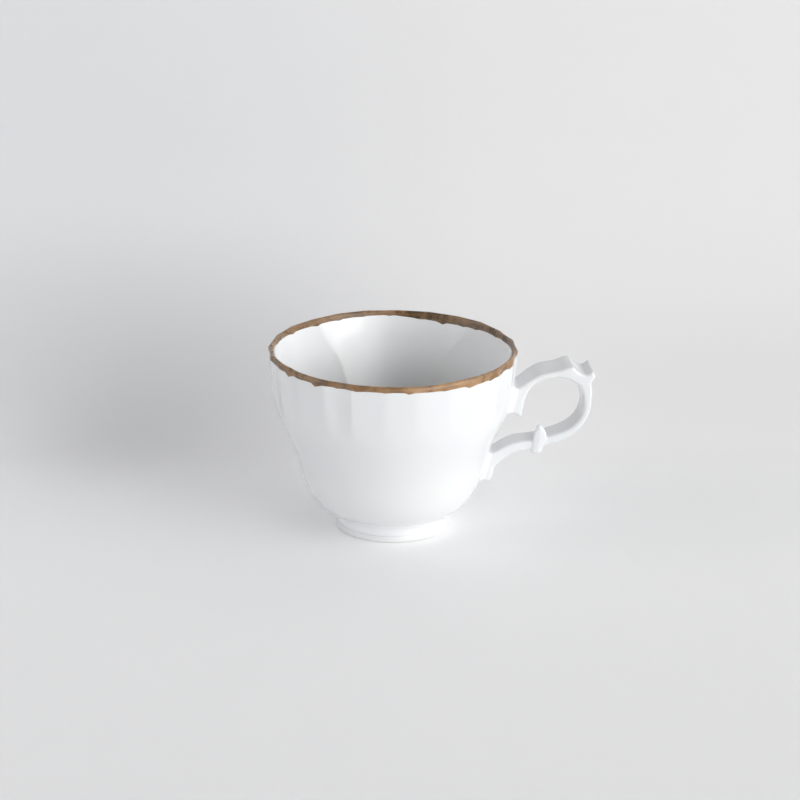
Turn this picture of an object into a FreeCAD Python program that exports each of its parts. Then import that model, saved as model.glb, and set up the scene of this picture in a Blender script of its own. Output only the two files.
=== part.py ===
import FreeCAD, Part
import math
import os

# Porcelain teacup with a fluted bowl, a flared foot, an ornate strap handle
# and a brown fired band round the lip.
# Frame: origin at the centre of the foot's resting plane, +Z up, +X towards
# the handle.  Millimetres.

# ---- driving dimensions ------------------------------------------------
rim_radius = 45.0            # outside of the lip, band included
height = 68.0                # resting plane to the top of the lip
band_skin = 0.12             # thickness of the fired enamel band
band_outer_low = 65.7        # lower edge of the band outside
band_inner_low = 65.5        # lower edge of the band inside
flute_count = 24
flute_phase_deg = 7.5        # first arris, measured from the handle
slip_gap = 0.35              # layer of slip in each luted joint

# outside of the bowl along the arrises: (z, radius)
bowl_outside = [(8.2, 24.4), (10.0, 27.2), (13.0, 29.6), (17.0, 31.6), (21.0, 33.0),
                (26.0, 34.2), (31.0, 35.8), (37.0, 38.4), (43.0, 41.1),
                (49.0, 42.95), (55.0, 43.9), (61.0, 44.5), (69.0, 44.9)]
# depth of the flutes below the arrises: (z, depth)
flute_depth = [(8.2, 0.0), (41.0, 0.0), (46.0, 0.12), (50.0, 0.40), (55.0, 0.62),
               (61.0, 0.70), (69.0, 0.60)]
# inside of the bowl: (z, radius)
bowl_inside = [(10.4, 16.0), (12.0, 21.0), (15.5, 25.1), (20.0, 27.9), (25.0, 29.6),
               (30.0, 31.1), (36.0, 33.2), (42.0, 35.5), (48.0, 37.65),
               (54.0, 39.5), (60.0, 41.15), (63.0, 41.88), (66.6, 42.65)]
floor_inside_z = 9.8         # top of the cup's floor

foot_outside_r = 20.4        # flared foot at its widest
foot_waist_r = 19.35
foot_contact_out = 19.7
foot_contact_in = 17.8
foot_inside_r = 17.2
foot_join_r = 21.2           # outside of the foot where it meets the bowl
foot_top_z = 6.2             # where the foot meets the bowl
bowl_under_z = 5.4           # underside of the cup's floor inside the foot

handle_width_top = 14.5      # strap width across the handle at z_top
handle_width_low = 9.6       # strap width at z_low
handle_z_top = 58.0
handle_z_low = 25.0

V = FreeCAD.Vector


def lerp(table, z):
    if z <= table[0][0]:
        return table[0][1]
    for (z0, a0), (z1, a1) in zip(table, table[1:]):
        if z <= z1:
            return a0 + (a1 - a0) * (z - z0) / (z1 - z0)
    return table[-1][1]


def spline(points):
    c = Part.BSplineCurve()
    c.interpolate([V(*p) for p in points])
    return c.toShape()


def revolve(edges):
    face = Part.Face(Part.Wire(Part.__sortEdges__(edges)))
    return face.revolve(V(0, 0, 0), V(0, 0, 1), 360)


def line(a, b):
    return Part.makeLine(V(*a), V(*b))


# ---- fluted outside of the bowl ------------------------------------------
def fluted_loft(grow):
    wires = []
    step = 2 * math.pi / flute_count
    for z, r in bowl_outside:
        d = lerp(flute_depth, z)
        edges = []
        for k in range(flute_count):
            a0 = math.radians(flute_phase_deg) + k * step
            pts = []
            for a, rr in ((a0, r + grow), (a0 + step / 2, r + grow - d), (a0 + step, r + grow)):
                pts.append(V(rr * math.cos(a), rr * math.sin(a), z))
            edges.append(Part.Arc(*pts).toShape())
        wires.append(Part.Wire(edges))
    return Part.makeLoft(wires, True, False)


def lip_cap(r, top, fillet):
    """Drum with a rounded top edge, which shapes the outside of the lip."""
    drum = Part.makeCylinder(r, top)
    ring = [e for e in drum.Edges if abs(e.BoundBox.ZMin - top) < 1e-6 and abs(e.BoundBox.ZMax - top) < 1e-6]
    return drum.makeFillet(fillet, ring)


def cavity(grow, top):
    """Inside of the bowl as a solid, rounded over at the lip."""
    pts = [(r + grow, 0, z) for z, r in bowl_inside]
    wall = spline([pts[0]] + pts[1:])
    last = pts[-1]
    lip_r = 0.95 + grow * 0.5
    c = V(last[0] + lip_r, 0, last[2])
    arc = Part.Arc(V(*last), c + V(-lip_r * 0.7071, 0, lip_r * 0.7071), c + V(0, 0, lip_r)).toShape()
    end = (c.x, 0, c.z + lip_r)
    floor = line((0, 0, floor_inside_z - grow), (pts[0][0] - 6, 0, floor_inside_z - grow))
    b = Part.BSplineCurve()
    b.interpolate([V(pts[0][0] - 6, 0, floor_inside_z - grow), V(pts[0][0] - 2.5, 0, floor_inside_z - grow + 0.12),
                   V(*pts[0])])
    edges = [floor, b.toShape(), wall, arc,
             line(end, (end[0], 0, top)), line((end[0], 0, top), (0, 0, top)),
             line((0, 0, top), (0, 0, floor_inside_z - grow))]
    return revolve(edges)


outer = fluted_loft(-band_skin)
body_top = height - band_skin
body = outer.common(lip_cap(rim_radius - band_skin, body_top, 1.1))
hollow = cavity(0.0, 80.0)

# The underside closes the bowl below the loft: a shallow dish down to the
# floor inside the foot.
low_z, low_r = bowl_outside[0]
low_r -= band_skin
dish = revolve([line((0, 0, bowl_under_z), (foot_inside_r - 0.6, 0, bowl_under_z)),
                line((foot_inside_r - 0.6, 0, bowl_under_z), (foot_inside_r, 0, foot_top_z)),
                line((foot_inside_r, 0, foot_top_z), (foot_join_r, 0, foot_top_z)),
                line((foot_join_r, 0, foot_top_z), (low_r, 0, low_z)),
                line((low_r, 0, low_z), (0, 0, low_z)),
                line((0, 0, low_z), (0, 0, bowl_under_z))])
cup_body = body.fuse(dish).cut(hollow).removeSplitter()

# ---- foot ring and the slip that holds it --------------------------------
top_join = foot_top_z - slip_gap
foot_ring = revolve([
    line((foot_contact_in, 0, 0), (foot_contact_out, 0, 0)),
    spline([(foot_contact_out, 0, 0), (foot_outside_r - 0.12, 0, 0.4), (foot_outside_r, 0, 1.0),
            (foot_outside_r - 0.35, 0, 1.9), (foot_waist_r, 0, 3.2), (foot_waist_r + 0.35, 0, 4.6),
            (foot_join_r - 0.25, 0, top_join)]),
    line((foot_join_r - 0.25, 0, top_join), (foot_inside_r, 0, top_join)),
    line((foot_inside_r, 0, top_join), (foot_inside_r, 0, 0.9)),
    line((foot_inside_r, 0, 0.9), (foot_contact_in, 0, 0))])
foot_slip = revolve([
    line((foot_inside_r, 0, top_join), (foot_join_r - 0.25, 0, top_join)),
    line((foot_join_r - 0.25, 0, top_join), (foot_join_r, 0, foot_top_z)),
    line((foot_join_r, 0, foot_top_z), (foot_inside_r, 0, foot_top_z)),
    line((foot_inside_r, 0, foot_top_z), (foot_inside_r, 0, top_join))])

# ---- brown band over the lip ---------------------------------------------
band_blank = fluted_loft(0.0).common(lip_cap(rim_radius, height, 1.15))
keep = Part.makeCylinder(60, 20, V(0, 0, band_outer_low))
inner_keep = Part.makeCylinder(43.7, 20, V(0, 0, band_inner_low))
band = band_blank.common(keep.fuse(inner_keep)).cut(cavity(-band_skin, 80.0)).cut(outer.common(
    lip_cap(rim_radius - band_skin, body_top, 1.1)).cut(hollow))
solids = sorted(band.Solids, key=lambda s: -s.Volume)
rim_band = solids[0]

# ---- handle ---------------------------------------------------------------
# Strap outline in the handle's plane, (x, z).  Outside of the strap first,
# from the upper root round to the lower root, then back along the inside.
upper_out = [(41.0, 52.6), (45.6, 53.3), (48.1, 55.1), (50.8, 57.0), (53.0, 58.2), (56.6, 59.0),
             (60.2, 59.7), (63.0, 60.7), (64.8, 60.9)]
bump_to_notch = [(64.8, 60.9), (66.0, 59.6), (67.3, 58.4), (69.4, 57.6)]
spur_a = [(69.4, 57.6), (70.8, 58.2), (72.1, 59.3)]
spur_b = [(72.1, 59.3), (72.5, 58.0), (73.2, 56.7)]
spur_c = [(73.2, 56.7), (72.2, 55.5), (71.6, 54.1)]
ring_out = [(71.6, 54.1), (71.9, 52.1), (72.0, 47.3), (71.6, 43.5), (70.4, 40.1), (68.2, 36.8),
            (65.0, 33.9), (61.9, 32.1), (57.6, 30.8), (54.9, 30.3)]
knop_low = [(54.9, 30.3), (53.8, 28.8), (52.2, 28.2), (50.6, 28.6), (50.1, 29.0)]
lower_out = [(50.1, 29.0), (47.1, 28.5), (44.6, 27.9), (41.8, 26.4), (39.1, 24.3), (37.1, 21.9),
             (36.4, 19.0), (35.1, 16.9)]
lower_tip = [(35.1, 16.9), (33.2, 17.3), (28.5, 17.0)]
lower_in = [(31.0, 27.0), (36.0, 27.6), (37.8, 28.4), (40.1, 29.8), (42.7, 31.0), (45.2, 31.8), (47.8, 32.1),
            (50.1, 32.0)]
knop_left = [(50.1, 32.0), (50.3, 34.0), (51.1, 36.4), (52.7, 38.9)]
knop_right = [(52.7, 38.9), (54.8, 37.3), (56.1, 35.5), (56.4, 34.0)]
ring_in = [(56.4, 34.0), (59.0, 34.6), (62.2, 35.8), (64.9, 37.4), (67.2, 39.7), (68.7, 42.8), (69.2, 45.8),
           (68.9, 48.4), (68.2, 51.3), (66.8, 53.7), (64.5, 55.4), (61.7, 56.6), (58.5, 56.8), (55.3, 56.3),
           (51.7, 54.9), (49.5, 52.7), (48.2, 50.2), (47.5, 47.9), (47.1, 45.8), (46.7, 43.3), (46.4, 41.6)]
upper_tip = [(46.4, 41.6), (44.2, 42.7), (38.5, 42.0)]


def run(points):
    pts = [(x, 0, z) for x, z in points]
    return spline(pts)


outline = [run(p) for p in (upper_out, bump_to_notch, spur_a, spur_b, spur_c, ring_out, knop_low, lower_out,
                            lower_tip)]
outline.append(line((28.5, 0, 17.0), (31.0, 0, 27.0)))
outline += [run(p) for p in (lower_in, knop_left, knop_right, ring_in, upper_tip)]
outline.append(line((38.5, 0, 42.0), (41.0, 0, 52.6)))
strap_face = Part.Face(Part.Wire(outline))
strap_face.translate(V(0, -12, 0))
strap = strap_face.extrude(V(0, 24, 0))


def half_width(z):
    return 0.5 * (handle_width_low + (handle_width_top - handle_width_low) * (z - handle_z_low)
                  / (handle_z_top - handle_z_low))


z0, z1 = 10.0, 65.0
wedge = Part.Face(Part.makePolygon([V(20, -half_width(z0), z0), V(20, half_width(z0), z0),
                                    V(20, half_width(z1), z1), V(20, -half_width(z1), z1),
                                    V(20, -half_width(z0), z0)])).extrude(V(60, 0, 0))
strap = strap.common(wedge)


def wall_solid(grow):
    """Round solid that follows the bowl's arrises, for trimming the roots."""
    pts = [(r - band_skin + grow, 0, z) for z, r in bowl_outside]
    return revolve([spline(pts), line(pts[-1], (0, 0, pts[-1][2])),
                    line((0, 0, pts[-1][2]), (0, 0, pts[0][2])), line((0, 0, pts[0][2]), pts[0])])


trimmed = strap.cut(wall_solid(slip_gap))
handle = sorted(trimmed.Solids, key=lambda s: -s.Volume)[0]

# ---- slip in the two handle joints ---------------------------------------
layer = strap.common(wall_solid(slip_gap)).cut(outer)
pads = sorted(layer.Solids, key=lambda s: -s.Volume)[:2]
pads.sort(key=lambda s: s.CenterOfMass.z)
handle_slip_lower, handle_slip_upper = pads

nodes = {
    "cup_body": cup_body,
    "foot_ring": foot_ring,
    "foot_slip": foot_slip,
    "rim_band": rim_band,
    "handle": handle,
    "handle_slip_upper": handle_slip_upper,
    "handle_slip_lower": handle_slip_lower,
}

os.makedirs("parts", exist_ok=True)
for name, shape in nodes.items():
    if len(shape.Solids) == 1:
        shape = shape.Solids[0]
    shape.exportStep("parts/" + name + ".step")
    b = shape.BoundBox
    print("%-18s solids %d valid %s volume %.1f  x %.2f..%.2f y %.2f..%.2f z %.2f..%.2f" % (
        name, len(shape.Solids), shape.isValid(), shape.Volume, b.XMin, b.XMax, b.YMin, b.YMax, b.ZMin, b.ZMax))
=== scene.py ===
import bpy
import math
import numpy as np
from mathutils import Matrix, Vector


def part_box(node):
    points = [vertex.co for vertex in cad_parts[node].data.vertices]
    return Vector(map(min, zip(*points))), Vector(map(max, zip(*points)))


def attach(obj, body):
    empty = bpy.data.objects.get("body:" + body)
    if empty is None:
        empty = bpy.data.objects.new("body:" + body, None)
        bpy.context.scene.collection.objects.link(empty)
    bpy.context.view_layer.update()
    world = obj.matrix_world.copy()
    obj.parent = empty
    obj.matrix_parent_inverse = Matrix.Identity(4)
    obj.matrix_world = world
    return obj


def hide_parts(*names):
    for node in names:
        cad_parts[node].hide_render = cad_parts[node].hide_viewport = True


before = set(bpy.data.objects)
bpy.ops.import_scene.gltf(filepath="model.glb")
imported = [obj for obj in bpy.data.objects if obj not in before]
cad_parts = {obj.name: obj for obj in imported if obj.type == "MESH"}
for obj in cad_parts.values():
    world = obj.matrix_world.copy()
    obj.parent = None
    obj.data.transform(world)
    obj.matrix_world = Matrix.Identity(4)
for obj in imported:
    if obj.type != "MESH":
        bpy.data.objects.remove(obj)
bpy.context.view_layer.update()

# ---------------------------------------------------------------------------
# sizes read from the frame, in millimetres
# ---------------------------------------------------------------------------
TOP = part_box("rim_band")[1].z * 1000.0
RIM = 45.0
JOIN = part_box("foot_slip")[1].z * 1000.0
FLUTES = 24
PHASE = math.radians(7.5)


# ---------------------------------------------------------------------------
# small maths helpers
# ---------------------------------------------------------------------------
def natural_spline(t, y):
    """Second-derivative cubic spline through (t, y); returns a function."""
    t = np.asarray(t, float)
    y = np.asarray(y, float)
    n = len(t)
    h = np.diff(t)
    a = np.zeros((n, n))
    b = np.zeros(n)
    a[0, 0] = a[-1, -1] = 1.0
    for i in range(1, n - 1):
        a[i, i - 1] = h[i - 1]
        a[i, i] = 2 * (h[i - 1] + h[i])
        a[i, i + 1] = h[i]
        b[i] = 6 * ((y[i + 1] - y[i]) / h[i] - (y[i] - y[i - 1]) / h[i - 1])
    m = np.linalg.solve(a, b)

    def f(x):
        x = np.asarray(x, float)
        i = np.clip(np.searchsorted(t, x) - 1, 0, n - 2)
        d = h[i]
        u = t[i + 1] - x
        v = x - t[i]
        return (m[i] * u ** 3 + m[i + 1] * v ** 3) / (6 * d) + (y[i] / d - m[i] * d / 6) * u \
            + (y[i + 1] / d - m[i + 1] * d / 6) * v
    return f


def curve2(points, count):
    """Smooth curve through 2-D points, sampled evenly along its length."""
    p = np.asarray(points, float)
    s = np.r_[0, np.cumsum(np.hypot(*np.diff(p, axis=0).T))]
    fx, fy = natural_spline(s, p[:, 0]), natural_spline(s, p[:, 1])
    u = np.linspace(0, s[-1], count * 6)
    q = np.stack([fx(u), fy(u)], 1)
    d = np.r_[0, np.cumsum(np.hypot(*np.diff(q, axis=0).T))]
    e = np.linspace(0, d[-1], count)
    return np.stack([np.interp(e, d, q[:, 0]), np.interp(e, d, q[:, 1])], 1)


def smooth(x, a, b):
    t = np.clip((np.asarray(x, float) - a) / (b - a), 0, 1)
    return t * t * (3 - 2 * t)


def make_mesh(name, verts_mm, faces, material, smooth_shade=True):
    me = bpy.data.meshes.new(name)
    v = (np.asarray(verts_mm, float) * 0.001)
    me.from_pydata(v.tolist(), [], faces if isinstance(faces, list) else faces.tolist())
    me.validate()
    me.update()
    if smooth_shade:
        me.polygons.foreach_set("use_smooth", [True] * len(me.polygons))
    ob = bpy.data.objects.new(name, me)
    bpy.context.scene.collection.objects.link(ob)
    if material:
        me.materials.append(material)
    return ob


def grid_faces(rows, cols, wrap_cols=True, flip=False):
    r = np.arange(rows - 1)[:, None]
    c = np.arange(cols if wrap_cols else cols - 1)[None, :]
    c2 = (c + 1) % cols
    a = r * cols + c
    b = r * cols + c2
    d = (r + 1) * cols + c
    e = (r + 1) * cols + c2
    f = np.stack([a, b, e, d], -1).reshape(-1, 4)
    return f[:, ::-1] if flip else f


# ---------------------------------------------------------------------------
# the bowl's surface as a function of angle and position along its profile
# ---------------------------------------------------------------------------
OUT = [(21.35, 6.15), (22.9, 7.15), (24.6, 8.2), (27.2, 10.0), (29.65, 13.0), (31.7, 17.0), (33.1, 21.0),
       (34.35, 26.0), (35.95, 31.0), (38.45, 37.0), (41.1, 43.0), (42.95, 49.0), (43.9, 55.0), (44.5, 61.0),
       (44.85, TOP - 1.25)]
INN = [(42.75, TOP - 1.25), (41.9, 63.0), (41.15, 60.0), (39.5, 54.0), (37.65, 48.0), (35.5, 42.0), (33.2, 36.0),
       (31.1, 30.0), (29.6, 25.0), (27.9, 20.0), (25.1, 15.5), (21.2, 12.1), (16.2, 10.4), (9.5, 9.85), (0.0, 9.8)]

out_curve = curve2(OUT, 150)
inn_curve = curve2(INN, 110)
lip_c = np.array([(out_curve[-1, 0] + inn_curve[0, 0]) / 2, TOP - 1.25])
lip_r = (out_curve[-1, 0] - inn_curve[0, 0]) / 2
ta = np.linspace(0, math.pi, 30)[1:-1]
lip = np.stack([lip_c[0] + lip_r * np.cos(ta), lip_c[1] + 1.25 * np.sin(ta) ** 0.9], 1)
profile = np.concatenate([out_curve, lip, inn_curve])
arc = np.r_[0, np.cumsum(np.hypot(*np.diff(profile, axis=0).T))]
i_top = len(out_curve) + len(lip) // 2
arc_top = arc[i_top]                       # arc length at the crown of the lip
side = np.zeros(len(profile))              # 1 outside, falling to 0 over the lip
side[:len(out_curve)] = 1
side[len(out_curve):len(out_curve) + len(lip)] = 0.5 + 0.5 * np.cos(ta)
tang = np.gradient(profile, arc, axis=0)
tang /= np.maximum(np.hypot(tang[:, 0], tang[:, 1]), 1e-9)[:, None]
norm2 = np.stack([tang[:, 1], -tang[:, 0]], 1)    # points away from the wall


RIDGE_RNG = np.random.default_rng(3)
CRISP = 0.35 + 0.65 * RIDGE_RNG.random(FLUTES) ** 1.5        # 1 is a sharp arris
DEEP = 0.62 + 0.25 * RIDGE_RNG.random(FLUTES)                # depth of the hollow after each arris, mm
SHIFT = RIDGE_RNG.normal(0, 0.5, FLUTES)                     # degrees
# arrises beside the handle's far side, as they are seen: crisp at -112.5, softer next to it
for number, crisp, deep, shift in ((13, 0.3, 0.45, 0.0), (14, 0.3, 0.35, 0.0), (15, 0.2, 0.80, 0.0), (16, 1.0, 0.40, -1.2),
                                   (17, 0.1, 0.16, -0.4), (18, 0.1, 0.20, -1.5), (19, 0.2, 0.30, 0.0),
                                   (20, 0.3, 0.40, 0.0)):
    CRISP[number], DEEP[number], SHIFT[number] = crisp, deep, shift


def flute(theta, z):
    """Depth of the hollow below the arrises."""
    u = ((theta - PHASE) / (2 * math.pi) * FLUTES) % FLUTES
    # arrises lean and wander a little
    k = np.arange(FLUTES + 1)
    pos = k + np.r_[SHIFT, SHIFT[0]] / 15.0
    i = (np.searchsorted(pos, u, side="right") - 1) % FLUTES
    lo_p = pos[i]
    hi_p = pos[i + 1]
    uu = np.where(u < pos[0], u + FLUTES, u)
    lo_p = np.where(u < pos[0], pos[FLUTES - 1], lo_p)
    hi_p = np.where(u < pos[0], pos[FLUTES], hi_p)
    i = np.where(u < pos[0], FLUTES - 1, i)
    t = np.clip((uu - lo_p) / (hi_p - lo_p), 0, 1)
    d = DEEP[i] * np.interp(z, [8, 43.5, 46, 48.5, 51.5, 55.5, 61, 68], [0, 0, 0.08, 0.40, 0.78, 0.95, 1.0, 0.95])
    # distance to the nearer arris, rounded by how soft that arris is
    near = np.where(t < 0.5, i, (i + 1) % FLUTES)
    w = 0.5 - np.abs(t - 0.5)
    soft_w = 0.02 + 0.16 * (1 - CRISP[near]) + 0.25 * (1 - smooth(z, 45.5, 54.0))
    w2 = np.sqrt(w * w + soft_w * soft_w) - soft_w
    full = np.sqrt(0.25 + soft_w * soft_w) - soft_w
    q = np.clip(w2 / full, 0, 1) * 0.5
    return d * 4 * q * (1 - q)


def wobble(theta, z):
    """Slight out-of-round of a hand-finished rim, fading towards the foot."""
    w = 0.10 * np.cos(2 * theta + 0.7) + 0.09 * np.cos(3 * theta - 1.1) + 0.08 * np.cos(5 * theta + 2.0) \
        + 0.06 * np.cos(9 * theta + 0.4) + 0.05 * np.cos(13 * theta - 0.9)
    return w * smooth(z, 20.0, 66.0)


def lift(theta):
    return 0.10 * np.cos(3 * theta + 1.9) + 0.07 * np.cos(7 * theta + 0.3) + 0.05 * np.cos(11 * theta - 1.2)


def surface(theta, s, off=0.0):
    """Points in mm of the bowl's surface at angle theta and arc length s, off mm proud of it."""
    r = np.interp(s, arc, profile[:, 0])
    z = np.interp(s, arc, profile[:, 1])
    w = np.interp(s, arc, side)
    nr = np.interp(s, arc, norm2[:, 0])
    nz = np.interp(s, arc, norm2[:, 1])
    r2 = r - flute(theta, z) * w * (0.35 + 0.65 * w) + wobble(theta, z) * smooth(r, 3, 20) - 0.05 * w + off * nr
    z2 = z + lift(theta) * smooth(z, 46, 68) - 0.22 * smooth(z, 46, 68) + off * nz
    return np.stack([r2 * np.cos(theta), r2 * np.sin(theta), z2], -1)


def columns(per_flute):
    """Angles with a column on each arris and evenly spaced columns between."""
    u = np.linspace(0, 1, per_flute, endpoint=False)
    u = u - 0.06 * np.sin(2 * math.pi * u) / (2 * math.pi) * 0.0
    t = []
    for k in range(FLUTES):
        t.append(PHASE + (k + u) * 2 * math.pi / FLUTES)
    return np.concatenate(t)


# ---------------------------------------------------------------------------
# materials
# ---------------------------------------------------------------------------
def new_material(name):
    m = bpy.data.materials.new(name)
    m.use_nodes = True
    m.node_tree.nodes.clear()
    return m, m.node_tree.nodes, m.node_tree.links


def node(nodes, kind, **values):
    n = nodes.new(kind)
    for k, v in values.items():
        if hasattr(n, k):
            setattr(n, k, v)
        else:
            n.inputs[k].default_value = v
    return n


def set_in(n, **values):
    for k, v in values.items():
        n.inputs[k.replace("_", " ")].default_value = v


def porcelain(name, tint=(0.79, 0.80, 0.805), unglazed_below=None, deep=None):
    m, nodes, links = new_material(name)
    out = nodes.new("ShaderNodeOutputMaterial")
    b = nodes.new("ShaderNodeBsdfPrincipled")
    links.new(b.outputs[0], out.inputs[0])
    b.inputs["IOR"].default_value = 1.5
    b.inputs["Subsurface Weight"].default_value = 0.12
    b.inputs["Subsurface Radius"].default_value = (1.0, 0.9, 0.8)
    b.inputs["Subsurface Scale"].default_value = 0.0015
    b.inputs["Specular IOR Level"].default_value = 0.5
    co = nodes.new("ShaderNodeTexCoord")
    # broad clouding of the body under the glaze
    n1 = nodes.new("ShaderNodeTexNoise")
    n1.inputs["Scale"].default_value = 38.0
    n1.inputs["Detail"].default_value = 3.0
    links.new(co.outputs["Object"], n1.inputs["Vector"])
    r1 = nodes.new("ShaderNodeValToRGB")
    r1.color_ramp.elements[0].position = 0.3
    r1.color_ramp.elements[1].position = 0.7
    r1.color_ramp.elements[0].color = (tint[0] * 0.985, tint[1] * 0.99, tint[2], 1)
    r1.color_ramp.elements[1].color = (tint[0] * 1.005, tint[1] * 1.003, tint[2] * 0.997, 1)
    links.new(n1.outputs["Fac"], r1.inputs["Fac"])
    base = r1.outputs["Color"]
    if deep is not None:
        # painted shade: the colour is darkened low down inside, standing in for the shade deep in the bowl
        at = nodes.new("ShaderNodeSeparateXYZ")
        links.new(co.outputs["Object"], at.inputs[0])
        low = nodes.new("ShaderNodeMapRange")
        low.interpolation_type = "SMOOTHSTEP"
        set_in(low, From_Min=0.030, From_Max=0.058, To_Min=deep, To_Max=1.0)
        links.new(at.outputs["Z"], low.inputs["Value"])
        shade = nodes.new("ShaderNodeVectorMath")
        shade.operation = "MULTIPLY"
        links.new(base, shade.inputs[0])
        links.new(low.outputs[0], shade.inputs[1])
        base = shade.outputs["Vector"]
    # roughness: glaze with faint dull patches
    n2 = nodes.new("ShaderNodeTexNoise")
    n2.inputs["Scale"].default_value = 95.0
    n2.inputs["Detail"].default_value = 4.0
    links.new(co.outputs["Object"], n2.inputs["Vector"])
    r2 = nodes.new("ShaderNodeMapRange")
    set_in(r2, From_Min=0.3, From_Max=0.75, To_Min=0.03, To_Max=0.055)
    links.new(n2.outputs["Fac"], r2.inputs["Value"])
    # glaze surface: slow waviness
    n3 = nodes.new("ShaderNodeTexNoise")
    n3.inputs["Scale"].default_value = 260.0
    n3.inputs["Detail"].default_value = 2.0
    links.new(co.outputs["Object"], n3.inputs["Vector"])
    bump = nodes.new("ShaderNodeBump")
    bump.inputs["Strength"].default_value = 0.05
    bump.inputs["Distance"].default_value = 0.0002
    links.new(n3.outputs["Fac"], bump.inputs["Height"])
    links.new(bump.outputs[0], b.inputs["Normal"])
    if unglazed_below is None:
        links.new(base, b.inputs["Base Color"])
        links.new(r2.outputs[0], b.inputs["Roughness"])
    else:
        # bare, sanded clay on the contact ring
        sep = nodes.new("ShaderNodeSeparateXYZ")
        links.new(co.outputs["Object"], sep.inputs[0])
        n4 = nodes.new("ShaderNodeTexNoise")
        n4.inputs["Scale"].default_value = 700.0
        n4.inputs["Detail"].default_value = 5.0
        links.new(co.outputs["Object"], n4.inputs["Vector"])
        jit = nodes.new("ShaderNodeMath")
        jit.operation = "MULTIPLY_ADD"
        jit.inputs[1].default_value = -0.0004
        links.new(n4.outputs["Fac"], jit.inputs[0])
        links.new(sep.outputs["Z"], jit.inputs[2])
        edge = nodes.new("ShaderNodeMapRange")
        set_in(edge, From_Min=unglazed_below - 0.0001, From_Max=unglazed_below + 0.0001, To_Min=1.0, To_Max=0.0)
        links.new(jit.outputs[0], edge.inputs["Value"])
        mix = nodes.new("ShaderNodeMix")
        mix.data_type = "RGBA"
        links.new(edge.outputs[0], mix.inputs["Factor"])
        links.new(r1.outputs["Color"], mix.inputs["A"])
        mix.inputs["B"].default_value = (0.77, 0.76, 0.74, 1)
        links.new(mix.outputs["Result"], b.inputs["Base Color"])
        mr = nodes.new("ShaderNodeMix")
        mr.data_type = "FLOAT"
        links.new(edge.outputs[0], mr.inputs["Factor"])
        links.new(r2.outputs[0], mr.inputs["A"])
        mr.inputs["B"].default_value = 0.75
        links.new(mr.outputs["Result"], b.inputs["Roughness"])
    return m


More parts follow.
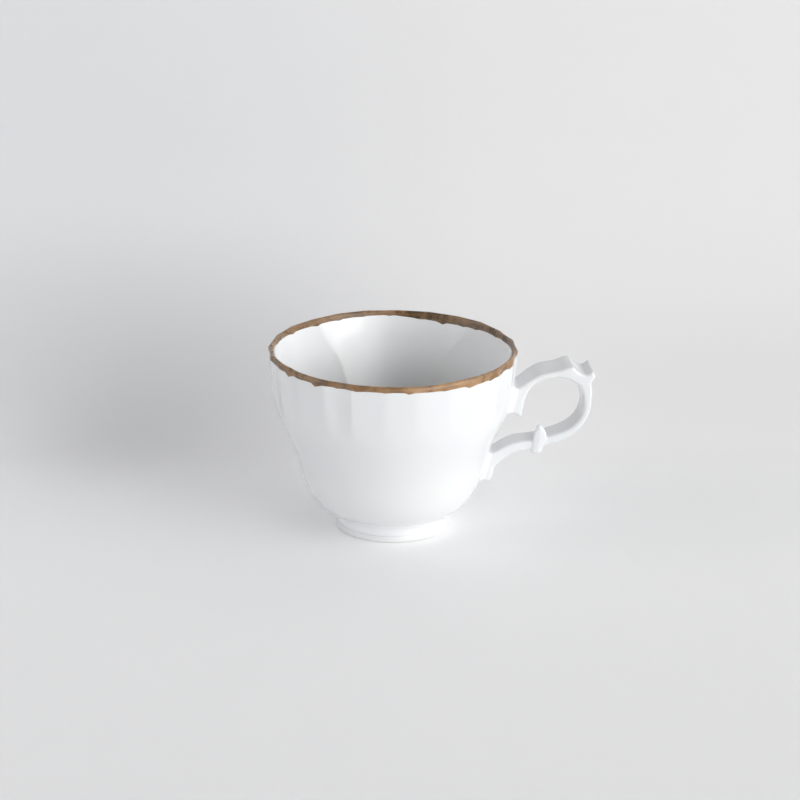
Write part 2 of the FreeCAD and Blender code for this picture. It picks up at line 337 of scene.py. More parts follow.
def brown_enamel(name):
    m, nodes, links = new_material(name)
    out = nodes.new("ShaderNodeOutputMaterial")
    b = nodes.new("ShaderNodeBsdfPrincipled")
    links.new(b.outputs[0], out.inputs[0])
    b.inputs["IOR"].default_value = 1.5
    co = nodes.new("ShaderNodeTexCoord")
    sep = nodes.new("ShaderNodeSeparateXYZ")
    links.new(co.outputs["Object"], sep.inputs[0])
    at = nodes.new("ShaderNodeMath")
    at.operation = "ARCTAN2"
    links.new(sep.outputs["Y"], at.inputs[0])
    links.new(sep.outputs["X"], at.inputs[1])
    # distance from the axis and height, in units of the brush's hair
    xy = nodes.new("ShaderNodeCombineXYZ")
    links.new(sep.outputs["X"], xy.inputs[0])
    links.new(sep.outputs["Y"], xy.inputs[1])
    ln = nodes.new("ShaderNodeVectorMath")
    ln.operation = "LENGTH"
    links.new(xy.outputs[0], ln.inputs[0])
    k = {}
    for key, src, f in (("a", at.outputs[0], 7.0), ("r", ln.outputs["Value"], 1500.0), ("z", sep.outputs["Z"], 1300.0)):
        mu = nodes.new("ShaderNodeMath")
        mu.operation = "MULTIPLY"
        mu.inputs[1].default_value = f
        links.new(src, mu.inputs[0])
        k[key] = mu
    v = nodes.new("ShaderNodeCombineXYZ")
    links.new(k["a"].outputs[0], v.inputs[0])
    links.new(k["r"].outputs[0], v.inputs[1])
    links.new(k["z"].outputs[0], v.inputs[2])
    streak = nodes.new("ShaderNodeTexNoise")
    streak.inputs["Scale"].default_value = 1.0
    streak.inputs["Detail"].default_value = 3.0
    streak.inputs["Roughness"].default_value = 0.6
    links.new(v.outputs[0], streak.inputs["Vector"])
    blot = nodes.new("ShaderNodeTexNoise")
    blot.inputs["Scale"].default_value = 170.0
    blot.inputs["Detail"].default_value = 4.0
    links.new(co.outputs["Object"], blot.inputs["Vector"])
    def math_node(op, x, y=None, z=None):
        n = nodes.new("ShaderNodeMath")
        n.operation = op
        for i, val in enumerate((x, y, z)):
            if val is None:
                continue
            if isinstance(val, (int, float)):
                n.inputs[i].default_value = val
            else:
                links.new(val, n.inputs[i])
        return n.outputs[0]

    # the colour is pushed lighter and tan towards some angles round the lip and darker towards others
    def side_mask(degrees, low_cos, gain):
        c = math_node("COSINE", math_node("SUBTRACT", at.outputs[0], math.radians(degrees)))
        mr = nodes.new("ShaderNodeMapRange")
        mr.interpolation_type = "SMOOTHSTEP"
        set_in(mr, From_Min=low_cos, From_Max=1.0, To_Min=0.0, To_Max=gain)
        links.new(c, mr.inputs["Value"])
        return mr.outputs[0]
    f = math_node("MULTIPLY", streak.outputs["Fac"], 0.32)
    f = math_node("MULTIPLY_ADD", blot.outputs["Fac"], 0.68, f)
    f = math_node("ADD", f, side_mask(-66.0, 0.45, 0.12))
    f = math_node("ADD", f, side_mask(85.0, 0.80, 0.03))
    f = math_node("SUBTRACT", f, side_mask(48.0, 0.70, 0.08))
    ramp = nodes.new("ShaderNodeValToRGB")
    e = ramp.color_ramp.elements
    e[0].position, e[0].color = 0.34, (0.085, 0.052, 0.026, 1)
    e[1].position, e[1].color = 0.80, (0.47, 0.29, 0.15, 1)
    mid = e.new(0.5)
    mid.color = (0.225, 0.132, 0.064, 1)
    hi = e.new(0.66)
    hi.color = (0.33, 0.19, 0.092, 1)
    links.new(f, ramp.inputs["Fac"])
    links.new(ramp.outputs["Color"], b.inputs["Base Color"])
    rr = nodes.new("ShaderNodeMapRange")
    set_in(rr, From_Min=0.3, From_Max=0.7, To_Min=0.20, To_Max=0.36)
    links.new(blot.outputs["Fac"], rr.inputs["Value"])
    links.new(rr.outputs[0], b.inputs["Roughness"])
    bump = nodes.new("ShaderNodeBump")
    bump.inputs["Strength"].default_value = 0.35
    bump.inputs["Distance"].default_value = 0.00005
    links.new(streak.outputs["Fac"], bump.inputs["Height"])
    links.new(bump.outputs[0], b.inputs["Normal"])
    return m


M_BODY = porcelain("porcelain_bowl")
# painted light and shade: whiter porcelain for the inside faces, painted darker low down for the shade deep in the bowl
M_INSIDE = porcelain("porcelain_inside_painted_light_and_shade", tint=(0.885, 0.89, 0.892), deep=0.62)
# painted shade: the foot gets a greyer copy of the bowl's porcelain; the bare clay of its contact ring is its own
# colour
M_FOOT = porcelain("porcelain_foot_painted_shade", tint=(0.765, 0.775, 0.78), unglazed_below=0.0003)
M_HANDLE = porcelain("porcelain_handle")
# painted light: the slip pieces get a whiter copy of the porcelain, brightening the shaded joint between bowl and foot
M_SLIP = porcelain("porcelain_slip_painted_light", tint=(0.89, 0.90, 0.905))
M_BAND = brown_enamel("enamel_brown")


# ---------------------------------------------------------------------------
# bowl
# ---------------------------------------------------------------------------
def build_bowl():
    th = columns(24)
    cols = len(th)
    under = np.array([(16.6, 5.45), (17.2, 5.75), (17.8, 6.05), (20.6, 6.1)])
    s = arc
    T, S = np.meshgrid(th, s)
    wall = surface(T, S)
    rows = [np.stack([r * np.cos(th), r * np.sin(th), np.full(cols, z)], -1) for r, z in under]
    verts = np.concatenate([np.stack(rows), wall[:-1]], 0)
    nrow = verts.shape[0]
    v = verts.reshape(-1, 3)
    faces = grid_faces(nrow, cols).tolist()
    # close the floor inside and underneath with a fan each
    floor_c = len(v)
    v = np.concatenate([v, [[0, 0, 9.8], [0, 0, 5.45]]])
    last = (nrow - 1) * cols
    for i in range(cols):
        j = (i + 1) % cols
        faces.append([last + i, last + j, floor_c])
        faces.append([j, i, floor_c + 1])
    ob = make_mesh("bowl", v, faces, M_BODY)
    # painted light: the inside faces get a whiter copy of the porcelain, standing in for light inside the bowl
    ob.data.materials.append(M_INSIDE)
    n = len(ob.data.polygons)
    centre = np.empty(n * 3)
    ob.data.polygons.foreach_get("center", centre)
    centre = centre.reshape(-1, 3) * 1000.0
    rad = np.hypot(centre[:, 0], centre[:, 1])
    zz = np.linspace(9.9, TOP, 60)
    out_r = np.interp(zz, out_curve[:, 1], out_curve[:, 0])
    inn_r = np.interp(zz, inn_curve[::-1, 1], inn_curve[::-1, 0])
    inside = (centre[:, 2] > 9.7) & (rad < np.interp(centre[:, 2], zz, (out_r + inn_r) / 2))
    ob.data.polygons.foreach_set("material_index", inside.astype(np.int32))
    return ob


bowl = build_bowl()


# ---------------------------------------------------------------------------
# foot: flared ring, and the fillet of slip above it
# ---------------------------------------------------------------------------
def revolve_mesh(name, pts, cols, material, closed=True):
    th = np.linspace(0, 2 * math.pi, cols, endpoint=False)
    p = np.asarray(pts, float)
    w = 1 + 0.0022 * np.cos(2 * th + 0.4) + 0.0015 * np.cos(3 * th + 1.3)
    verts = np.stack([(p[:, 0:1] * w[None]) * np.cos(th), (p[:, 0:1] * w[None]) * np.sin(th),
                      np.repeat(p[:, 1:2], cols, 1)], -1)
    rows = len(p)
    f = grid_faces(rows, cols).tolist()
    if closed:
        a = (rows - 1) * cols
        for i in range(cols):
            j = (i + 1) % cols
            f.append([a + i, a + j, j, i])
    return make_mesh(name, verts.reshape(-1, 3), f, material)


foot_side = curve2([(20.05, 0.05), (20.27, 0.2), (20.38, 0.6), (20.37, 1.2), (20.25, 1.9), (20.06, 2.7),
                    (19.95, 3.6), (20.1, 4.8), (20.8, 5.9)], 44)
foot_in = curve2([(17.4, 5.8), (17.25, 4.0), (17.35, 1.6), (17.7, 0.4), (18.2, 0.02)], 24)
foot_floor = np.array([(18.5, 0.0), (18.9, 0.0), (19.4, 0.0), (19.85, 0.01)])
foot = revolve_mesh("foot", np.concatenate([foot_floor, foot_side, foot_in]), 240, M_FOOT)

# the slip is worked up into a soft curve from the foot's waist onto the bowl
fil = curve2([(20.12, 2.45), (20.16, 3.4), (20.55, 4.45), (21.25, 5.45), (22.2, 6.4), (23.35, 7.3), (24.8, 8.3), (26.2, 9.25)], 48)
fil_in = np.array([(25.0, 8.75), (22.8, 7.3), (21.0, 6.0), (20.1, 4.9), (19.75, 3.6)])
foot_fillet = revolve_mesh("foot_joint", np.concatenate([fil, fil_in]), 240, M_SLIP)


# ---------------------------------------------------------------------------
# brown band with a ragged, toothed edge
# ---------------------------------------------------------------------------
# (angle in degrees from the handle, how far the tooth runs down in mm, half width in degrees)
TEETH_OUT = []
base_rng = np.random.default_rng(7)


def ragged(theta, teeth, base, noise_seed, fine):
    rng = np.random.default_rng(noise_seed)
    v = np.full_like(theta, base)
    for n in (2, 3, 5, 8, 13, 21, 34):
        v += fine * rng.normal() / (1 + n * 0.12) * np.cos(n * theta + rng.uniform(0, 6.28))
    for n in (55, 89, 144):
        v += fine * 0.25 * rng.normal() * np.cos(n * theta + rng.uniform(0, 6.28))
    for a, depth, half in teeth:
        d = (np.degrees(theta) - a + 180) % 360 - 180
        # steep on one side, easier on the other, as a brush leaves it
        w = np.where(d < 0, half * 0.75, half * 1.25)
        v += depth * np.clip(1 - np.abs(d) / w, 0, 1) ** 1.15
    return v


SIDE_AZ = -95.2      # degrees, the side that the teeth below are counted from
seen_out = [(-56, 1.35, 3.6), (-37.5, 1.15, 3.6), (-26, 0.35, 3.0), (-16, 0.25, 3.4), (-3, 0.2, 3.0), (7.4, 0.55, 2.6),
            (24, 0.25, 3.2), (37.5, 0.75, 3.8), (51, 0.45, 3.2), (60, 0.3, 2.6), (69, 0.6, 3.2), (-70, 0.4, 3.6)]
teeth_out = [(SIDE_AZ + a, d, h) for a, d, h in seen_out]
rr = np.random.default_rng(11)
for k in range(24):
    a = 7.5 + 15 * k - 3.5 + rr.normal() * 1.6
    rel = (a - SIDE_AZ + 180) % 360 - 180
    if abs(rel) > 76:
        teeth_out.append((a, 0.30 + 0.75 * rr.random() ** 1.5, 2.6 + 1.6 * rr.random()))
teeth_in = []
for a, d in ((64, 0.7), (76, 0.25), (118, 0.3), (131, 0.5), (149, 0.5), (44, 0.35), (52, 0.3)):
    teeth_in.append((a - 5.2, d, 3.2))
for k in range(24):
    a = 7.5 + 15 * k + 2.5 + rr.normal() * 2.0
    if min(abs((a - b[0] + 180) % 360 - 180) for b in teeth_in[:7]) > 7:
        teeth_in.append((a, 0.15 + 0.35 * rr.random(), 2.6 + 1.8 * rr.random()))


def bump_at(theta, centre, width, height):
    rel = (np.degrees(theta) - centre + 180) % 360 - 180
    return height * np.exp(-(rel / width) ** 2)


def build_band():
    th = columns(60)
    low = ragged(th, teeth_out, 2.45, 5, 0.07)
    low += bump_at(th, SIDE_AZ + 45, 24, 0.85) + bump_at(th, SIDE_AZ - 45, 18, 0.25)
    inn = ragged(th, teeth_in, 2.35, 9, 0.06)
    # wider inside on the far side to the right, narrow straight behind
    inn += bump_at(th, 52, 26, 1.15) + bump_at(th, 128, 20, 0.35) + bump_at(th, 88, 11, -0.55)
    n = 46
    t = np.linspace(-1, 1, n)
    t = np.sign(t) * np.abs(t) ** 0.9
    s = np.where(t[:, None] < 0, arc_top + t[:, None] * low[None], arc_top + t[:, None] * inn[None])
    T = np.repeat(th[None], n, 0)
    e = np.minimum(np.abs(-1 - t), np.abs(1 - t))[:, None] * np.where(t[:, None] < 0, low[None], inn[None])
    off = 0.085 * smooth(e, 0.0, 0.22) - 0.015
    # brush relief along the band
    off += 0.008 * np.sin(9 * T + 14 * t[:, None]) * smooth(e, 0.1, 0.5)
    verts = surface(T, s, off)
    # underside, just inside the porcelain
    pick = [0, n // 4, n // 2, 3 * n // 4, n - 1]
    back = surface(T[pick], s[pick], -0.06)
    all_v = np.concatenate([verts, back[::-1]], 0)
    rows, cols = all_v.shape[:2]
    f = grid_faces(rows, cols).tolist()
    a = (rows - 1) * cols
    for i in range(cols):
        j = (i + 1) % cols
        f.append([a + i, a + j, j, i])
    return make_mesh("rim_enamel", all_v.reshape(-1, 3), f, M_BAND)


band = build_band()

# ---------------------------------------------------------------------------
# handle: an implicit solid, meshed by surface nets and pulled onto the surface
# ---------------------------------------------------------------------------
OUTLINE = [
    [(40.0, 52.2), (45.4, 53.2), (48.1, 55.1), (50.8, 57.0), (53.0, 58.2), (56.6, 59.0), (60.2, 59.7), (63.0, 60.7),
     (64.8, 60.9)],
    [(64.8, 60.9), (66.0, 59.6), (67.3, 58.4), (69.4, 57.6)],
    [(69.4, 57.6), (70.8, 58.2), (72.1, 59.3)],
    [(72.1, 59.3), (72.5, 58.0), (73.2, 56.7)],
    [(73.2, 56.7), (72.2, 55.5), (71.6, 54.1)],
    [(71.6, 54.1), (71.9, 52.1), (72.0, 47.3), (71.6, 43.5), (70.4, 40.1), (68.2, 36.8), (65.0, 33.9), (61.9, 32.1),
     (57.6, 30.8), (54.0, 30.0), (50.1, 29.0), (47.1, 28.5), (44.6, 27.9), (41.8, 26.4), (39.1, 24.3), (37.1, 21.9),
     (36.4, 19.0), (35.1, 16.9)],
    [(35.1, 16.9), (33.2, 17.4), (28.5, 17.0)],
    [(28.5, 17.0), (31.0, 27.0)],
    [(31.0, 27.0), (36.0, 27.6), (37.8, 28.4), (40.1, 29.8), (42.7, 31.0), (45.2, 31.8), (47.8, 32.1), (52.0, 32.6),
     (56.4, 33.8), (59.0, 34.6), (62.2, 35.8), (64.9, 37.4), (67.2, 39.7), (68.7, 42.8), (69.2, 45.8), (68.9, 48.4),
     (68.2, 51.3), (66.8, 53.7), (64.5, 55.4), (61.7, 56.6), (58.5, 56.8), (55.3, 56.3), (51.7, 54.9), (49.5, 52.7),
     (48.2, 50.2), (47.5, 47.9), (47.1, 45.8), (46.7, 43.3), (46.3, 41.7)],
    [(46.3, 41.7), (44.2, 42.9), (36.0, 42.2)],
    [(36.0, 42.2), (40.0, 52.2)],
]


def polygon(runs):
    pts = []
    for run in runs:
        c = curve2(run, max(8, int(8 * np.hypot(*np.diff(np.array(run), axis=0).T).sum() / 2))) if len(run) > 2 \
            else np.array(run, float)
        pts.append(c[:-1])
    return np.concatenate(pts)


def sdf_polygon(x, z, poly):
    """Signed distance (inside negative) from points to a closed polygon."""
    shape = x.shape
    p = np.stack([x.ravel(), z.ravel()], 1)
    a = poly
    b = np.roll(poly, -1, 0)
    best = np.full(len(p), 1e9)
    inside = np.zeros(len(p), bool)
    for (ax, az), (bx, bz) in zip(a, b):
        dx, dz = bx - ax, bz - az
        l2 = dx * dx + dz * dz
        if l2 < 1e-12:
            continue
        t = np.clip(((p[:, 0] - ax) * dx + (p[:, 1] - az) * dz) / l2, 0, 1)
        d = (p[:, 0] - ax - t * dx) ** 2 + (p[:, 1] - az - t * dz) ** 2
        best = np.minimum(best, d)
        cond = (az > p[:, 1]) != (bz > p[:, 1])
        if abs(dz) > 1e-12:
            cross = cond & (p[:, 0] < dx * (p[:, 1] - az) / dz + ax)
            inside ^= cross
    d = np.sqrt(best)
    return np.where(inside, -d, d).reshape(shape)


class Field2:
    """Bicubic-ish lookup of the outline's distance field."""
    def __init__(self, poly, x0, x1, z0, z1, h):
        self.x0, self.z0, self.h = x0, z0, h
        self.xs = np.arange(x0, x1 + h, h)
        self.zs = np.arange(z0, z1 + h, h)
        X, Z = np.meshgrid(self.xs, self.zs, indexing="ij")
        self.f = sdf_polygon(X, Z, poly)

    def __call__(self, x, z):
        u = np.clip((x - self.x0) / self.h, 1, len(self.xs) - 3.001)
        v = np.clip((z - self.z0) / self.h, 1, len(self.zs) - 3.001)
        i = u.astype(int)
        j = v.astype(int)
        fu = u - i
        fv = v - j

        def w(t):
            return (-0.5 * t + t ** 2 - 0.5 * t ** 3, 1 - 2.5 * t ** 2 + 1.5 * t ** 3,
                    0.5 * t + 2 * t ** 2 - 1.5 * t ** 3, -0.5 * t ** 2 + 0.5 * t ** 3)
        wu, wv = w(fu), w(fv)
        r = 0.0
        for a in range(4):
            for b in range(4):
                r = r + wu[a] * wv[b] * self.f[i + a - 1, j + b - 1]
        return r


def smin(a, b, k):
    h = np.clip(0.5 + 0.5 * (b - a) / k, 0, 1)
    return b * (1 - h) + a * h - k * h * (1 - h)


outline = Field2(polygon(OUTLINE), 24.0, 78.0, 11.0, 65.0, 0.2)
out_r = out_curve[:, 0]
out_z = out_curve[:, 1]
out_slope = np.gradient(out_r, out_z)


def wall_distance(x, y, z):
    """Rough signed distance to the bowl's outside, positive outside."""
    r = np.hypot(x, y)
    th = np.arctan2(y, x)
    rw = np.interp(z, out_z, out_r) - flute(th, z) + wobble(th, z) - 0.05
    sl = np.interp(z, out_z, out_slope)
    return (r - rw) / np.sqrt(1 + sl * sl)


def half_width(x, z):
    """Half the strap's width across the handle."""
    base = np.interp(z, [15, 25, 34, 46, 58, 63], [5.2, 4.9, 5.2, 6.0, 7.1, 7.2])
    return base


def strap(x, y, z):
    d2 = outline(x, z)
    h = half_width(x, z)
    r = 0.95
    qx = d2 + r
    qy = np.abs(y) - h + r
    return np.minimum(np.maximum(qx, qy), 0) + np.hypot(np.maximum(qx, 0), np.maximum(qy, 0)) - r


KNOP = [[(53.2, 38.6), (52.3, 37.4), (51.4, 35.8), (50.9, 34.0), (50.85, 32.0), (50.5, 30.2), (50.1, 28.7),
         (50.6, 27.7), (52.3, 27.35), (54.0, 27.7), (54.5, 28.9), (54.9, 30.4), (55.6, 32.2), (55.9, 34.2),
         (55.3, 36.2), (54.2, 37.7), (53.2, 38.6)]]
knop_outline = Field2(polygon(KNOP), 44.0, 62.0, 21.0, 45.0, 0.15)


def knop(x, y, z):
    """Pointed bud on the lower limb, its near face a little domed; it sinks into the strap behind."""
    d2 = knop_outline(x, z) + 0.26 * np.maximum(y + 4.6, 0)
    r = 0.8
    h = 5.45 + 0.20 * np.clip(-d2, 0, 2.2)
    qx = d2 + r
    qy = np.abs(y) - h + r
    return np.minimum(np.maximum(qx, qy), 0) + np.hypot(np.maximum(qx, 0), np.maximum(qy, 0)) - r


def handle_field(x, y, z):
    f = smin(strap(x, y, z), knop(x, y, z), 0.6)
    return f


def surface_nets(field, lo, hi, h, project=3):
    xs = np.arange(lo[0], hi[0] + h, h)
    ys = np.arange(lo[1], hi[1] + h, h)
    zs = np.arange(lo[2], hi[2] + h, h)
    X, Y, Z = np.meshgrid(xs, ys, zs, indexing="ij")
    F = field(X, Y, Z)
    neg = F < 0
    nx, ny, nz = F.shape
    # cells crossed by the surface
    c = np.zeros((nx - 1, ny - 1, nz - 1), int)
    acc = np.zeros((nx - 1, ny - 1, nz - 1, 3))
    cnt = np.zeros((nx - 1, ny - 1, nz - 1))
    corners = [(i, j, k) for i in (0, 1) for j in (0, 1) for k in (0, 1)]
    for i, j, k in corners:
        c += neg[i:nx - 1 + i, j:ny - 1 + j, k:nz - 1 + k]
    active = (c > 0) & (c < 8)
    G = [X, Y, Z]
    for axis in range(3):
        for a in (0, 1):
            for b in (0, 1):
                o = [0, 0, 0]
                oth = [q for q in range(3) if q != axis]
                o[oth[0]], o[oth[1]] = a, b
                p = list(o)
                p[axis] = 1
                s0 = tuple(slice(o[q], F.shape[q] - 1 + o[q]) for q in range(3))
                s1 = tuple(slice(p[q], F.shape[q] - 1 + p[q]) for q in range(3))
                f0, f1 = F[s0], F[s1]
                m = (f0 < 0) != (f1 < 0)
                t = np.where(m, f0 / np.where(m, f0 - f1, 1), 0)
                for q in range(3):
                    val = G[q][s0] + (t * h if q == axis else 0)
                    acc[..., q] += np.where(m, val, 0)
                cnt += m
    idx = -np.ones(active.shape, int)
    n = int(active.sum())
    idx[active] = np.arange(n)
    v = acc[active] / cnt[active][:, None]
    faces = []
    for axis in range(3):
        oth = [q for q in range(3) if q != axis]
        s0 = [slice(None)] * 3
        s1 = [slice(None)] * 3
        s0[axis] = slice(0, -1)
        s1[axis] = slice(1, None)
        a, b = neg[tuple(s0)], neg[tuple(s1)]
        cross = a != b
        ids = np.argwhere(cross)
        ok = np.ones(len(ids), bool)
        for q in oth:
            ok &= (ids[:, q] > 0) & (ids[:, q] < F.shape[q] - 1)
        ids = ids[ok]
        sign = a[tuple(ids.T)]
        quad = []
        for da, db in ((0, 0), (-1, 0), (-1, -1), (0, -1)):
            c2 = ids.copy()
            c2[:, oth[0]] += da
            c2[:, oth[1]] += db
            quad.append(idx[tuple(c2.T)])
        q4 = np.stack(quad, 1)
        flip = sign if axis != 1 else ~sign
        q4[~flip] = q4[~flip][:, ::-1]
        faces.append(q4)
    f = np.concatenate(faces)
    f = f[(f >= 0).all(1)]
    # pull onto the surface
    e = h * 0.2
    for _ in range(project):
        x, y, z = v.T
        g = np.stack([field(x + e, y, z) - field(x - e, y, z), field(x, y + e, z) - field(x, y - e, z),
                      field(x, y, z + e) - field(x, y, z - e)], 1) / (2 * e)
        val = field(x, y, z)
        gl = np.maximum((g * g).sum(1), 0.05)
        step = -(val / gl)[:, None] * g
        step = np.clip(step, -h * 0.5, h * 0.5)
        v = v + step
    return v, f


def relax(v, f, rounds, keep):
    """Even out the spacing along the surface, keeping the shape through keep()."""
    e = np.concatenate([f[:, [0, 1]], f[:, [1, 2]], f[:, [2, 3]], f[:, [3, 0]]])
    n = len(v)
    for _ in range(rounds):
        s = np.zeros_like(v)
        c = np.zeros(n)
        for q in range(3):
            s[:, q] = np.bincount(e[:, 0], v[e[:, 1], q], n) + np.bincount(e[:, 1], v[e[:, 0], q], n)
        c = np.bincount(e[:, 0], minlength=n) + np.bincount(e[:, 1], minlength=n)
        v = v * 0.5 + 0.5 * s / np.maximum(c, 1)[:, None]
        v = keep(v)
    return v


def project_to(field, h):
    def keep(v):
        e = h * 0.2
        for _ in range(2):
            x, y, z = v.T
            g = np.stack([field(x + e, y, z) - field(x - e, y, z), field(x, y + e, z) - field(x, y - e, z),
                          field(x, y, z + e) - field(x, y, z - e)], 1) / (2 * e)
            gl = np.maximum((g * g).sum(1), 0.05)
            v = v - np.clip((field(x, y, z) / gl)[:, None] * g, -h * 0.5, h * 0.5)
        return v
    return keep


STEP = 0.42


def build_handle():
    # the strap ends 0.3 mm short of the wall, inside the slip
    def f(x, y, z):
        return np.maximum(handle_field(x, y, z), 0.25 - wall_distance(x, y, z))
    v, q = surface_nets(f, (29, -8.5, 15.5), (75, 8.5, 63), STEP)
    v = relax(v, q, 2, project_to(f, STEP))
    return make_mesh("handle_strap", v, q, M_HANDLE)


def build_fillet(name, lo, hi, k):
    def f(x, y, z):
        a = handle_field(x, y, z)
        w = wall_distance(x, y, z)
        s = smin(a, w, k) + 0.02
        s = np.maximum(s, w - 2.6)          # ends inside the strap
        s = np.maximum(s, -0.5 - w)         # a thin back inside the wall
        s = np.maximum(s, a - 2.4)          # only around the root
        return s
    v, q = surface_nets(f, lo, hi, STEP * 0.8)
    return make_mesh(name, v, q, M_SLIP)


handle = build_handle()
joint_upper = build_fillet("handle_joint_upper", (36, -10.5, 37), (49, 10.5, 58), 2.4)
joint_lower = build_fillet("handle_joint_lower", (28, -8.5, 12), (41, 8.5, 32), 2.0)

# ---------------------------------------------------------------------------
# riding, replacing
# ---------------------------------------------------------------------------
for ob, nodes_, slot in ((bowl, ("cup_body",), "porcelain"), (foot, ("foot_ring",), "porcelain"),
                         (foot_fillet, ("foot_slip",), "slip"), (band, ("rim_band",), "band"),
                         (handle, ("handle",), "porcelain"), (joint_upper, ("handle_slip_upper",), "slip"),
                         (joint_lower, ("handle_slip_lower",), "slip")):
    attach(ob, "root")
    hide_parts(*nodes_)

# ---------------------------------------------------------------------------
# stage: pale seamless sweep, soft studio light, camera
# ---------------------------------------------------------------------------
ROT = math.radians(-5.2)      # view frame to row frame


def to_row(p):
    c, s = math.cos(ROT), math.sin(ROT)
    return Vector((p[0] * c - p[1] * s, p[0] * s + p[1] * c, p[2]))


def build_sweep():
    # flat floor that curves up into a backdrop, in the view frame
    start, radius = 0.062, 0.105
    pts = [(-1.6, 0.0), (-0.4, 0.0), (start - 0.02, 0.0), (start, 0.0)]
    for i in range(1, 25):
        a = math.pi / 2 * i / 24
        pts.append((start + radius * math.sin(a), radius - radius * math.cos(a)))
    pts.append((start + radius, radius + 0.03))
    pts.append((start + radius, 1.4))
    verts = []
    for x in (-3.0, 3.0):
        for y, z in pts:
            verts.append(to_row((x, y, z)))
    n = len(pts)
    faces = [[i, i + n, i + n + 1, i + 1] for i in range(n - 1) if i != 1]
    # the strip under the cup is open inside the foot's contact ring, so that the hollow shows from below
    y0, y1, hole = pts[1][0], pts[2][0], 0.0187
    turns = sorted([2 * math.pi * i / 96 for i in range(96)] +
                   [math.atan2(y, x) % (2 * math.pi) for x in (-3.0, 3.0) for y in (y0, y1)])
    base = len(verts)
    for a in turns:
        c, s = math.cos(a), math.sin(a)
        far = min(3.0 / abs(c) if abs(c) > 1e-9 else 1e9, (y1 if s > 0 else -y0) / abs(s) if abs(s) > 1e-9 else 1e9)
        verts.append(to_row((hole * c, hole * s, 0.0)))
        verts.append(to_row((far * c, far * s, 0.0)))
    for i in range(len(turns)):
        j = (i + 1) % len(turns)
        faces.append([base + 2 * i, base + 2 * i + 1, base + 2 * j + 1, base + 2 * j])
    me = bpy.data.meshes.new("sweep")
    me.from_pydata(verts, [], faces)
    me.polygons.foreach_set("use_smooth", [True] * len(me.polygons))
    ob = bpy.data.objects.new("sweep", me)
    bpy.context.scene.collection.objects.link(ob)
    m, nodes, links = new_material("paper")
    out = nodes.new("ShaderNodeOutputMaterial")
    b = nodes.new("ShaderNodeBsdfPrincipled")
    # one-sided, so that the cup can be looked at from behind and from below
    clear = nodes.new("ShaderNodeBsdfTransparent")
    sided = nodes.new("ShaderNodeMixShader")
    geo = nodes.new("ShaderNodeNewGeometry")
    links.new(geo.outputs["Backfacing"], sided.inputs[0])
    links.new(b.outputs[0], sided.inputs[1])
    links.new(clear.outputs[0], sided.inputs[2])
    links.new(sided.outputs[0], out.inputs[0])
    b.inputs["Roughness"].default_value = 0.7
    b.inputs["Specular IOR Level"].default_value = 0.2
    # painted shade: the paper is coloured greyer where it rises, most of all to the left, standing in for less light
    # falling there
    co = nodes.new("ShaderNodeTexCoord")

    def along(direction, lo, hi):
        dot = nodes.new("ShaderNodeVectorMath")
        dot.operation = "DOT_PRODUCT"
        dot.inputs[1].default_value = to_row(direction)
        links.new(co.outputs["Object"], dot.inputs[0])
        mr = nodes.new("ShaderNodeMapRange")
        mr.interpolation_type = "SMOOTHSTEP"
        set_in(mr, From_Min=lo, From_Max=hi, To_Min=0.0, To_Max=1.0)
        links.new(dot.outputs["Value"], mr.inputs["Value"])
        return mr.outputs[0]

    def mix(fac, c0, c1):
        n = nodes.new("ShaderNodeMix")
        n.data_type = "RGBA"
        links.new(fac, n.inputs["Factor"])
        for key, c in (("A", c0), ("B", c1)):
            if isinstance(c, tuple):
                n.inputs[key].default_value = c
            else:
                links.new(c, n.inputs[key])
        return n.outputs["Result"]
    wall = mix(along((1, 0, 0), -0.15, 0.08), (0.708, 0.712, 0.722, 1), (0.762, 0.757, 0.757, 1))
    col = mix(along((0, 1, 0), 0.045, 0.135), (0.955, 0.955, 0.955, 1), wall)

    # painted shadow: a soft grey bell on the paper behind the cup, to the left, stands in for the cup's shadow
    def squared(direction, centre, half):
        dot = nodes.new("ShaderNodeVectorMath")
        dot.operation = "DOT_PRODUCT"
        dot.inputs[1].default_value = to_row(direction)
        links.new(co.outputs["Object"], dot.inputs[0])
        n = nodes.new("ShaderNodeMath")
        n.operation = "MULTIPLY_ADD"
        links.new(dot.outputs["Value"], n.inputs[0])
        n.inputs[1].default_value = 1.0 / half
        n.inputs[2].default_value = -centre / half
        sq = nodes.new("ShaderNodeMath")
        sq.operation = "POWER"
        ab = nodes.new("ShaderNodeMath")
        ab.operation = "ABSOLUTE"
        links.new(n.outputs[0], ab.inputs[0])
        links.new(ab.outputs[0], sq.inputs[0])
        sq.inputs[1].default_value = 2.0
        return sq.outputs[0]
    summed = nodes.new("ShaderNodeMath")
    summed.operation = "ADD"
    links.new(squared((1, 0, 0), -0.108, 0.043), summed.inputs[0])
    links.new(squared((0, 1, 0), 0.080, 0.040), summed.inputs[1])
    bell = nodes.new("ShaderNodeMath")
    bell.operation = "POWER"
    bell.inputs[0].default_value = math.exp(-1.0)
    links.new(summed.outputs[0], bell.inputs[1])
    depth = nodes.new("ShaderNodeMath")
    depth.operation = "MULTIPLY_ADD"
    links.new(bell.outputs[0], depth.inputs[0])
    depth.inputs[1].default_value = -0.19
    depth.inputs[2].default_value = 1.0
    painted_shadow = nodes.new("ShaderNodeVectorMath")
    painted_shadow.operation = "MULTIPLY"
    links.new(col, painted_shadow.inputs[0])
    links.new(depth.outputs[0], painted_shadow.inputs[1])
    links.new(painted_shadow.outputs["Vector"], b.inputs["Base Color"])
    me.materials.append(m)
    # the floor goes on behind the upright part, for the views from there
    far = bpy.data.meshes.new("floor_behind")
    far.from_pydata([to_row(p) for p in ((-3.0, 0.05, -0.001), (3.0, 0.05, -0.001), (3.0, 3.0, -0.001),
                                         (-3.0, 3.0, -0.001))], [], [[0, 1, 2, 3]])
    far.materials.append(m)
    behind = bpy.data.objects.new("floor_behind", far)
    bpy.context.scene.collection.objects.link(behind)
    return ob


build_sweep()


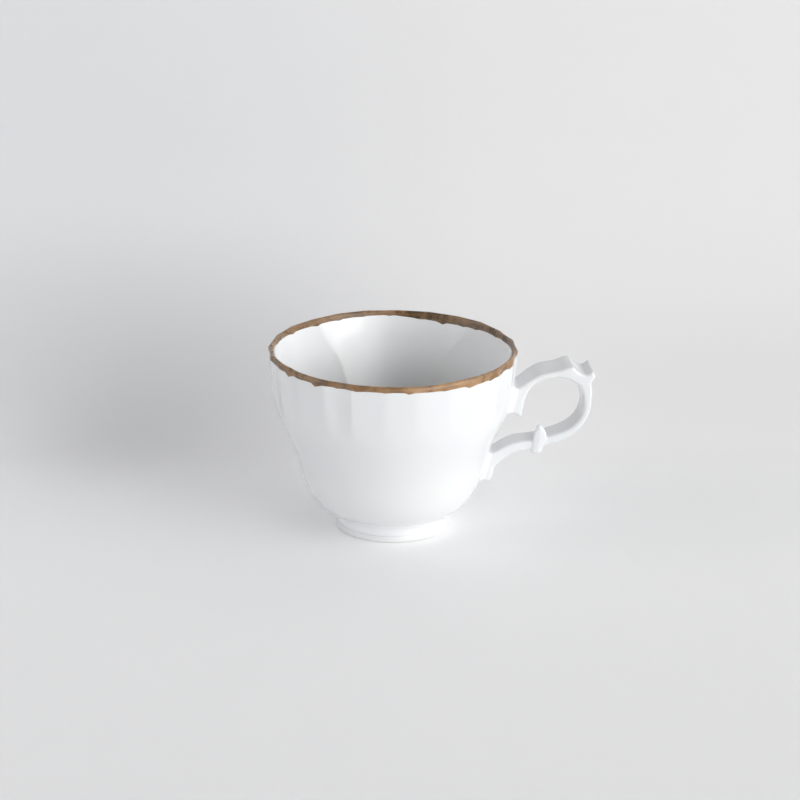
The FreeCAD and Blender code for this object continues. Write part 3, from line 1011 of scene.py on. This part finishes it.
def area(name, loc, target, size, power, color=(1, 1, 1), size_y=None, spread=math.pi):
    d = bpy.data.lights.new(name, "AREA")
    d.shape = "RECTANGLE"
    d.size = size
    d.size_y = size_y or size
    d.energy = power
    d.color = color
    d.spread = spread
    ob = bpy.data.objects.new(name, d)
    bpy.context.scene.collection.objects.link(ob)
    ob.location = to_row(loc)
    dirv = to_row(target) - ob.location
    ob.rotation_euler = dirv.to_track_quat("-Z", "Y").to_euler()
    return ob


def panel(name, azimuth, elevation, distance, width, height, radiance, color=(1, 1, 1)):
    """Soft rectangular light; azimuth is measured to the right of the viewer as seen from the cup."""
    az, el = math.radians(azimuth), math.radians(elevation)
    loc = (distance * math.sin(az), -distance * math.cos(az), 0.04 + distance * math.tan(el))
    power = radiance * math.pi * width * height
    return area(name, loc, (0, 0, 0.04), width, power, color, size_y=height)


# low window to the right of the viewer
panel("window", 45.0, 5.4, 1.3, 0.77, 0.26, 2.6)

# the room as soft lobes of light: azimuth right of the viewer, elevation, tightness, radiance
LOBES = (
         (28, 6, 30, (1.62, 1.58, 1.57)),
         (64, 8, 30, (0.72, 0.70, 0.69)),
         (60, 28, 12, (0.74, 0.75, 0.75)),
         (-90, 12, 6, (2.58, 2.51, 2.56)),
         (-45, 12, 6, (0.20, 0.23, 0.23)),
         (45, 12, 6, (2.76, 2.79, 2.82)),
         (90, 12, 6, (1.42, 1.41, 1.40)),
         (0, -90, 4, (0.90, 0.90, 0.90)),
)
world = bpy.data.worlds.new("studio")
bpy.context.scene.world = world
world.use_nodes = True
wn, wl = world.node_tree.nodes, world.node_tree.links
bg = wn["Background"]
tc = wn.new("ShaderNodeTexCoord")
total = None
for az, el, tight, rgb in LOBES:
    az, el = math.radians(az), math.radians(el)
    dot = wn.new("ShaderNodeVectorMath")
    dot.operation = "DOT_PRODUCT"
    dot.inputs[1].default_value = to_row((math.sin(az) * math.cos(el), -math.cos(az) * math.cos(el),
                                          math.sin(el)))
    wl.new(tc.outputs["Generated"], dot.inputs[0])
    front = wn.new("ShaderNodeMath")
    front.operation = "MAXIMUM"
    front.inputs[1].default_value = 0.0
    wl.new(dot.outputs["Value"], front.inputs[0])
    power = wn.new("ShaderNodeMath")
    power.operation = "POWER"
    power.inputs[1].default_value = tight
    wl.new(front.outputs[0], power.inputs[0])
    add = wn.new("ShaderNodeVectorMath")
    add.operation = "MULTIPLY_ADD"
    wl.new(power.outputs[0], add.inputs[0])
    add.inputs[1].default_value = rgb
    if total is None:
        add.inputs[2].default_value = (0.0, 0.0, 0.0)
    else:
        wl.new(total, add.inputs[2])
    total = add.outputs["Vector"]
wl.new(total, bg.inputs[0])
bg.inputs[1].default_value = 1.0

# camera at the viewing angle
elev = math.radians(19.4)
pitch = elev + math.radians(0.0726)
roll = math.radians(0.33)
cam_pos = (2.71e-3, -math.cos(elev), 48.97e-3 + math.sin(elev))
cp, sp = math.cos(pitch), math.sin(pitch)
fwd = np.array([0, cp, -sp])
right = np.array([1.0, 0, 0])
up = np.array([0, sp, cp])
cr, sr = math.cos(roll), math.sin(roll)
right, up = cr * right + sr * up, -sr * right + cr * up
R = Matrix.Rotation(ROT, 3, "Z")
cols = [R @ Vector(right), R @ Vector(up), R @ Vector(-fwd)]
mat = Matrix([[cols[0][i], cols[1][i], cols[2][i]] for i in range(3)]).to_4x4()
mat.translation = to_row(cam_pos)
cam_d = bpy.data.cameras.new("camera")
cam_d.sensor_width = 36.0
cam_d.lens = 2763.0 * 36.0 / 800.0
cam_d.clip_start = 0.05
cam_d.clip_end = 20
cam = bpy.data.objects.new("camera", cam_d)
bpy.context.scene.collection.objects.link(cam)
cam.matrix_world = mat
bpy.context.scene.camera = cam
bpy.context.scene.view_settings.view_transform = "Standard"
bpy.context.scene.view_settings.look = "None"
